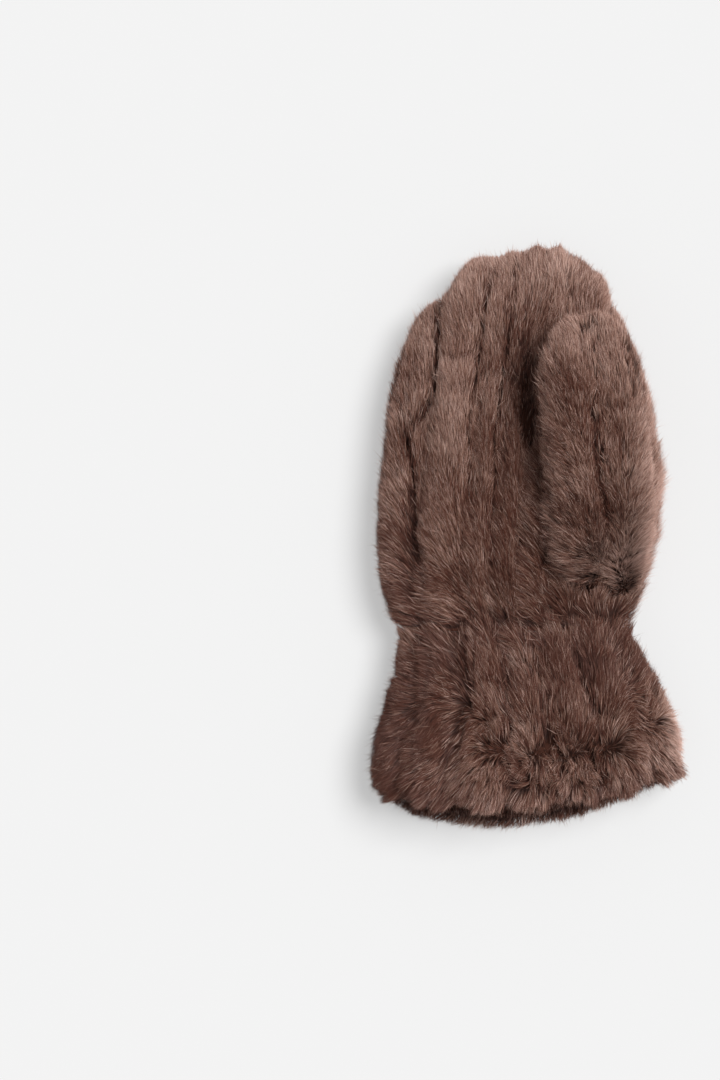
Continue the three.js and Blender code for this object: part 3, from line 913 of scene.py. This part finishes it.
def hair_mesh(name, roots, bends, tips, normals, widths, tints, chance):
    """One mesh of flat tapered hairs, each bent at its middle and with a tip of no width."""
    count = len(roots)
    steps = np.array([0.0, 0.5, 1.0])
    widen = np.array([0.85, 1.0])
    points = []
    for step in steps:
        share = np.full(count, step)
        points.append(blend(blend(roots, bends, share), blend(bends, tips, share), share))
    twist = chance.normal(size=count) * 0.45
    rows = []
    for j in range(2):
        ahead = unit(points[j + 1] - points[max(j - 1, 0)])
        side = unit(np.cross(ahead, normals))
        side = turned(side, ahead, twist)
        half = side * (widths * widen[j] / 2)[:, None]
        rows += [points[j] - half, points[j] + half]
    rows.append(points[2])
    places = np.stack(rows, axis=1)
    floor = 0.25 * MM + chance.random((count, 1)) * 0.8 * MM
    places[..., 2] = np.maximum(places[..., 2], floor)
    corners = (np.arange(count)[:, None] * 5 + [0, 1, 3, 2, 2, 3, 4]).astype(np.int32)
    sizes = np.tile(np.array([4, 3], np.int32), count)
    mesh = bpy.data.meshes.new(name)
    mesh.vertices.add(count * 5)
    mesh.vertices.foreach_set("co", places.reshape(-1).astype(np.float32))
    mesh.loops.add(count * 7)
    mesh.loops.foreach_set("vertex_index", corners.reshape(-1))
    mesh.polygons.add(count * 2)
    mesh.polygons.foreach_set("loop_start", np.concatenate([[0], np.cumsum(sizes)[:-1]]).astype(np.int32))
    mesh.polygons.foreach_set("use_smooth", np.ones(count * 2, bool))
    mesh.update(calc_edges=True)
    along = np.array([0, 0, 0.5, 0.5, 1.0])
    across = np.stack(np.broadcast_arrays(tints[:, None], along[None, :]), axis=2)
    on_map = across.reshape(-1, 2)[corners.reshape(-1)]
    layer = mesh.uv_layers.new(name=HAIR_MAP)
    layer.data.foreach_set("uv", on_map.reshape(-1).astype(np.float32))
    hairs = bpy.data.objects.new(name, mesh)
    bpy.context.scene.collection.objects.link(hairs)
    return hairs


def dressed(piece, replaced=()):
    """Hangs a finished piece on the frame."""
    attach(piece, "root")
    if replaced:
        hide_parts(*replaced)
    print(piece.name, len(piece.data.polygons), "faces")


def upper(points, normals):
    """More hairs where they are seen: on top and round the edge."""
    return rise(normals[:, 2], -0.5, -0.1) + 0.001


def round_rim(points, normals):
    """Hairs inside the rim, between its edge and the hem."""
    inward = np.einsum("ij,ij->i", normals, points - cuff_core(points)) <= 0.3 * MM
    return (inward & (points[:, 1] < MOUTH_END)) * 1.0


def outside(points, normals):
    """Hairs on the outside of the cuff only."""
    return 1 - round_rim(points, normals)


def lower(points, normals):
    """Hairs on the underside."""
    return 1 - rise(normals[:, 2], -0.5, -0.1) + 0.001


def patched(points, patches):
    """How much paler the fur is for the patches that each place lies in, from its own colour and from
    painted light and shade.
    """
    paler = np.zeros(len(points))
    for much, x, y, wide, tall in patches:
        away = ((points[:, 0] / MM - x) / wide) ** 2 + ((points[:, 1] / MM - y) / tall) ** 2
        paler += much * np.exp(-away)
    return paler * rise(points[:, 2], 6 * MM, 16 * MM)


def hand_tone_and_painted_light(points, normals):
    """Paler towards the fingertips, partly the fur's own colour and partly painted light from the upper
    right, with a painted highlight along the outer edge and on fur that faces right, and the patches' own
    colour and painted light and shade.
    """
    lit = 0.16 * rise(points[:, 1], -10 * MM, 60 * MM) * (1 - rise(points[:, 0], -30 * MM, 0))
    # Paler towards the fingertips: the fur's own colour and painted light.
    lit = lit + 0.3 * rise(points[:, 1], 60 * MM, 118 * MM) + patched(points, HAND_COLOUR_AND_LIGHT_PATCHES)
    lit = lit - 0.07 * rise(-points[:, 1], -15 * MM, 15 * MM)
    # Painted highlight along the outer edge and on fur that faces right.
    return lit + 0.35 * rise(points[:, 0], 38 * MM, 54 * MM) + 0.12 * rise(normals[:, 0], 0.3, 0.9)


def thumb_tone_and_painted_light(points, normals):
    """Paler at the tip, with a painted highlight along the outer side and on fur that faces right, and the
    patches' own colour and painted light and shade.
    """
    lit = 0.03 + 0.27 * rise(points[:, 1], 50 * MM, 98 * MM) + patched(points, THUMB_COLOUR_AND_LIGHT_PATCHES)
    # Painted highlight along the outer side and on fur that faces right.
    return lit + 0.32 * rise(points[:, 0], 38 * MM, 54 * MM) + 0.12 * rise(normals[:, 0], 0.3, 0.9)


def rim(points):
    """1 at the cuff's rim and 0 well above it."""
    x, y = points[:, 0] / MM, points[:, 1] / MM
    edge = np.interp(x, *RIM_EDGE)
    return 1 - rise(y - edge, 6, 24)


def over_rim(points, normals):
    """Millimetres by which the longest locks hang past the cuff's rim or over the wrist's seam."""
    upper_edge = 0.25 + 0.75 * rise(points[:, 2], 16 * MM, 24 * MM)
    corners = 1 - 0.7 * rise(np.abs(points[:, 0]), 58 * MM, 70 * MM)
    seam = 1 - rise(-points[:, 1], 50 * MM, 62 * MM)
    seam = seam * (1 - 0.85 * rise(np.abs(points[:, 0]), 34 * MM, 50 * MM))
    return 9 * rim(points) * upper_edge * corners + 8 * seam


def over_palm(points, normals):
    """Millimetres by which the thumb's longest locks reach over the palm beside and below it."""
    x, y = points[:, 0] / MM, points[:, 1] / MM
    return 10 * (1 - rise(x, 12, 20)) * (1 - rise(y, 30, 54)) + 8 * rise(-y, -4, 10)


def over_crease(points, normals):
    """Millimetres by which the palm's longest locks reach over the thumb's crease and the wrist's seam."""
    x, y = points[:, 0] / MM, points[:, 1] / MM
    beside = rise(x, -8, -1) * (1 - rise(y, 28, 44)) * (1 - 0.3 * rise(x, 32, 44))
    return 8 * beside + 3 * rise(-y, 34, 42)


def at_gather(points):
    """How much rougher the fur lies where the wrist is gathered and where the cuff's fur turns over."""
    x, y = points[:, 0] / MM, points[:, 1] / MM
    turned_over = 1.4 * np.exp(-(((y + 104) / 11) ** 2))
    return 1 + turned_over + 1.5 * np.exp(-(((y + 56) / 16) ** 2)) * (1 - 0.6 * rise(np.abs(x), 30, 60))


def at_groove(points):
    """How much rougher the thumb's fur lies, most of all by the groove on its right."""
    x, y = points[:, 0] / MM, points[:, 1] / MM
    gap = x - np.interp(y, (-2, 12, 38, 56), (41, 36, 32, 30))
    groove = np.exp(-((gap / 6) ** 2)) * (1 - rise(y, 52, 62)) * rise(y, -8, 6)
    return 1.4 + 1.6 * groove + 0.8 * rise(y, 82, 96)


def cuff_tone_and_painted_light(points, normals):
    """Painted shade on the left and painted light on the right and on fur that faces right, paler at the rim
    and darker below the wrist, with the patches' own colour and painted light and shade.
    """
    # Painted shade on the left and painted light on the right.
    lit = 0.08 * rise(points[:, 0], 20 * MM, 58 * MM) - 0.24 * rise(-points[:, 0], 5 * MM, 50 * MM)
    lit = lit + 0.22 * rise(-points[:, 1], 112 * MM, 124 * MM)
    below = rise(-points[:, 1], 46 * MM, 70 * MM)
    # Painted highlight on fur that faces right.
    return (lit - 0.13) * below + patched(points, CUFF_COLOUR_AND_LIGHT_PATCHES) + 0.12 * rise(normals[:, 0], 0.3, 0.9)


def clear_of_thumb(points, normals):
    """Where no thumb stands on the palm."""
    thumb = forms["thumb"]
    clear = np.ones(len(points), bool)
    near = (points[:, 0] > -5 * MM) & (points[:, 1] > -40 * MM) & (normals[:, 2] > 0)
    for i in np.flatnonzero(near):
        hit = thumb.tree.ray_cast(Vector(points[i]), Vector(normals[i]), 40 * MM)
        if hit[2] is not None:
            outside = thumb.outer[thumb.faces[hit[2]]].all()
            clear[i] = bool(outside) and hit[3] > 0.6 * MM
    return clear


def clear_of_palm(points, normals):
    """Where the thumb doesn't lie against the palm."""
    palm = forms["hand"]
    clear = np.ones(len(points), bool)
    for i in np.flatnonzero(normals[:, 2] < 0.3):
        hit = palm.tree.ray_cast(Vector(points[i]), Vector(normals[i]), 1 * MM)
        clear[i] = hit[2] is None
    return clear


class MITTEN_OT_hides(bpy.types.Operator):
    """Makes the thin hides that the fur grows from"""

    bl_idname = "mitten.hides"
    bl_label = "Hides"

    def execute(self, context):
        cloth = context.scene.mitten_cloth
        finishes = [hide_finish(cloth), backing_finish(cloth)]
        forms["hand"] = Form(
            "hand", ["palm_panel", "back_panel"], hand_core, cloth, meeting=SIDE_SEAM, shape=full_fingertips
        )
        forms["thumb"] = Form("thumb", ["thumb"], thumb_core, cloth)
        forms["hem"] = Form("hem", ["cuff_hem"], cuff_core, cloth, furred=hem_side, shape=round_corner)
        forms["cuff"] = Form("cuff", ["cuff"], cuff_core, cloth, furred=cuff_side, shape=round_corner)
        points, faces = [], []
        for name in ("hand", "thumb", "cuff"):
            form = forms[name]
            faces += (form.faces[~form.cut[form.faces].any(axis=1)] + len(points)).tolist()
            points += form.tips.tolist()
        for name, form in forms.items():
            dressed(form.piece(finishes), form.nodes)
        forms["outline"] = BVHTree.FromPolygons(points, faces)
        return {"FINISHED"}


class MITTEN_OT_hand_fur(bpy.types.Operator):
    """Grows the fur on the palm, the edges and the back of the hand"""

    bl_idname = "mitten.hand_fur"
    bl_label = "Hand Fur"

    def execute(self, context):
        look = context.scene.mitten_fur
        finish = hair_finish("hand_hair", look)
        form = forms["hand"]

        def left(points, normals):
            return upper(points, normals) * (points[:, 0] < PALM_SPLIT)

        def right(points, normals):
            return upper(points, normals) * (points[:, 0] >= PALM_SPLIT)

        for name, count, seed, weight in (
            ("palm_fur_left", 60000, 11, left),
            ("palm_fur_right", 64000, 21, right),
            ("back_fur", 21000, 31, lower),
        ):
            fur = grown_fur(
                name, form, count, look.hand_length, hand_flow, look, seed, weight, clear_of_thumb,
                HAND_FURROWS, tone_and_painted_light=hand_tone_and_painted_light, tousle=at_gather, over=over_crease,
            )
            fur.data.materials.append(finish)
            dressed(fur)
        return {"FINISHED"}


class MITTEN_OT_thumb_fur(bpy.types.Operator):
    """Grows the fur on the thumb"""

    bl_idname = "mitten.thumb_fur"
    bl_label = "Thumb Fur"

    def execute(self, context):
        look = context.scene.mitten_fur

        def weight(points, normals):
            return 0.3 + rise(normals[:, 2], -0.5, 0.2)

        fur = grown_fur(
            "thumb_fur", forms["thumb"], 56000, look.thumb_length, thumb_flow, look, 41, weight,
            clear_of_palm, THUMB_FURROWS, tone_and_painted_light=thumb_tone_and_painted_light, tousle=at_groove, over=over_palm,
        )
        fur.data.materials.append(hair_finish("thumb_hair", look))
        dressed(fur)
        return {"FINISHED"}


class MITTEN_OT_cuff_fur(bpy.types.Operator):
    """Grows the fur on the cuff and on the hem turned in at its mouth"""

    bl_idname = "mitten.cuff_fur"
    bl_label = "Cuff Fur"

    def execute(self, context):
        look = context.scene.mitten_fur
        finish = hair_finish("cuff_hair", look, 0.96)
        for name, count, seed, weight in (
            ("cuff_fur", 64000, 51, lambda p, n: upper(p, n) * outside(p, n)),
            ("cuff_under_fur", 12000, 61, lambda p, n: lower(p, n) * outside(p, n)),
        ):
            fur = grown_fur(
                name, forms["cuff"], count, look.cuff_length, cuff_flow, look, seed, weight,
                furrows=CUFF_FURROWS, pull=(0.28, 0.14), tone_and_painted_light=cuff_tone_and_painted_light, tousle=at_gather, over=over_rim,
            )
            fur.data.materials.append(finish)
            dressed(fur)
        dark = hair_finish("hem_hair", look, 0.7)
        for name, form, count, seed, weight in (
            ("hem_fur", "hem", 9000, 71, lambda p, n: np.ones(len(p))),
            ("rim_fur", "cuff", 7000, 81, round_rim),
        ):
            hem = grown_fur(name, forms[form], count, look.hem_length, hem_flow, look, seed, weight)
            hem.data.materials.append(dark)
            dressed(hem)
        return {"FINISHED"}


class MITTEN_OT_studio(bpy.types.Operator):
    """Sets the floor, the lights and the camera"""

    bl_idname = "mitten.studio"
    bl_label = "Studio"

    def execute(self, context):
        studio = context.scene.mitten_studio
        scene = context.scene
        bm = bmesh.new()
        bmesh.ops.create_grid(bm, x_segments=1, y_segments=1, size=4.0)
        mesh = bpy.data.meshes.new("floor")
        bm.to_mesh(mesh)
        bm.free()
        mesh.materials.append(floor_finish(studio))
        floor = bpy.data.objects.new("floor", mesh)
        scene.collection.objects.link(floor)

        sky = bpy.data.worlds.new("studio_sky")
        sky.use_nodes = True
        sky.node_tree.nodes["Background"].inputs["Color"].default_value = (1.0, 1.0, 1.0, 1)
        sky.node_tree.nodes["Background"].inputs["Strength"].default_value = studio.sky_strength
        scene.world = sky

        key = bpy.data.lights.new("key_light", "SUN")
        key.energy = studio.key_strength
        key.angle = math.radians(34)
        lamp = bpy.data.objects.new("key_light", key)
        lamp.rotation_euler = KEY_DIRECTION.to_track_quat("-Z", "Y").to_euler()
        scene.collection.objects.link(lamp)

        x, y = studio.view_centre
        camera = bpy.data.cameras.new("camera")
        camera.lens = camera.sensor_width * EYE_HEIGHT / studio.view_height
        camera.clip_end = 20
        eye = bpy.data.objects.new("camera", camera)
        eye.location = (x, y, EYE_HEIGHT)
        scene.collection.objects.link(eye)
        scene.camera = eye
        scene.view_settings.view_transform = "Standard"
        scene.view_settings.look = "None"
        return {"FINISHED"}


class MITTEN_PT_panel(bpy.types.Panel):
    """The mitten's steps and settings"""

    bl_idname = "MITTEN_PT_panel"
    bl_label = "Fur Mitten"
    bl_space_type = "VIEW_3D"
    bl_region_type = "UI"
    bl_category = "Mitten"

    def draw(self, context):
        for step in STEPS:
            self.layout.operator(step.bl_idname)
        for group in (context.scene.mitten_fur, context.scene.mitten_cloth, context.scene.mitten_studio):
            box = self.layout.box()
            for field in group.bl_rna.properties:
                if field.identifier not in ("rna_type", "name"):
                    box.prop(group, field.identifier)


STEPS = (
    MITTEN_OT_hides,
    MITTEN_OT_hand_fur,
    MITTEN_OT_thumb_fur,
    MITTEN_OT_cuff_fur,
    MITTEN_OT_studio,
)
GROUPS = (FurSettings, ClothSettings, StudioSettings)


def register():
    for kind in (*GROUPS, *STEPS, MITTEN_PT_panel):
        bpy.utils.register_class(kind)
    bpy.types.Scene.mitten_fur = bpy.props.PointerProperty(type=FurSettings)
    bpy.types.Scene.mitten_cloth = bpy.props.PointerProperty(type=ClothSettings)
    bpy.types.Scene.mitten_studio = bpy.props.PointerProperty(type=StudioSettings)


def unregister():
    del bpy.types.Scene.mitten_fur
    del bpy.types.Scene.mitten_cloth
    del bpy.types.Scene.mitten_studio
    for kind in (MITTEN_PT_panel, *reversed(STEPS), *reversed(GROUPS)):
        bpy.utils.unregister_class(kind)


def main():
    """Makes the mitten and its studio."""
    register()
    bpy.ops.mitten.hides()
    bpy.ops.mitten.hand_fur()
    bpy.ops.mitten.thumb_fur()
    bpy.ops.mitten.cuff_fur()
    bpy.ops.mitten.studio()


if __name__ == "__main__":
    main()
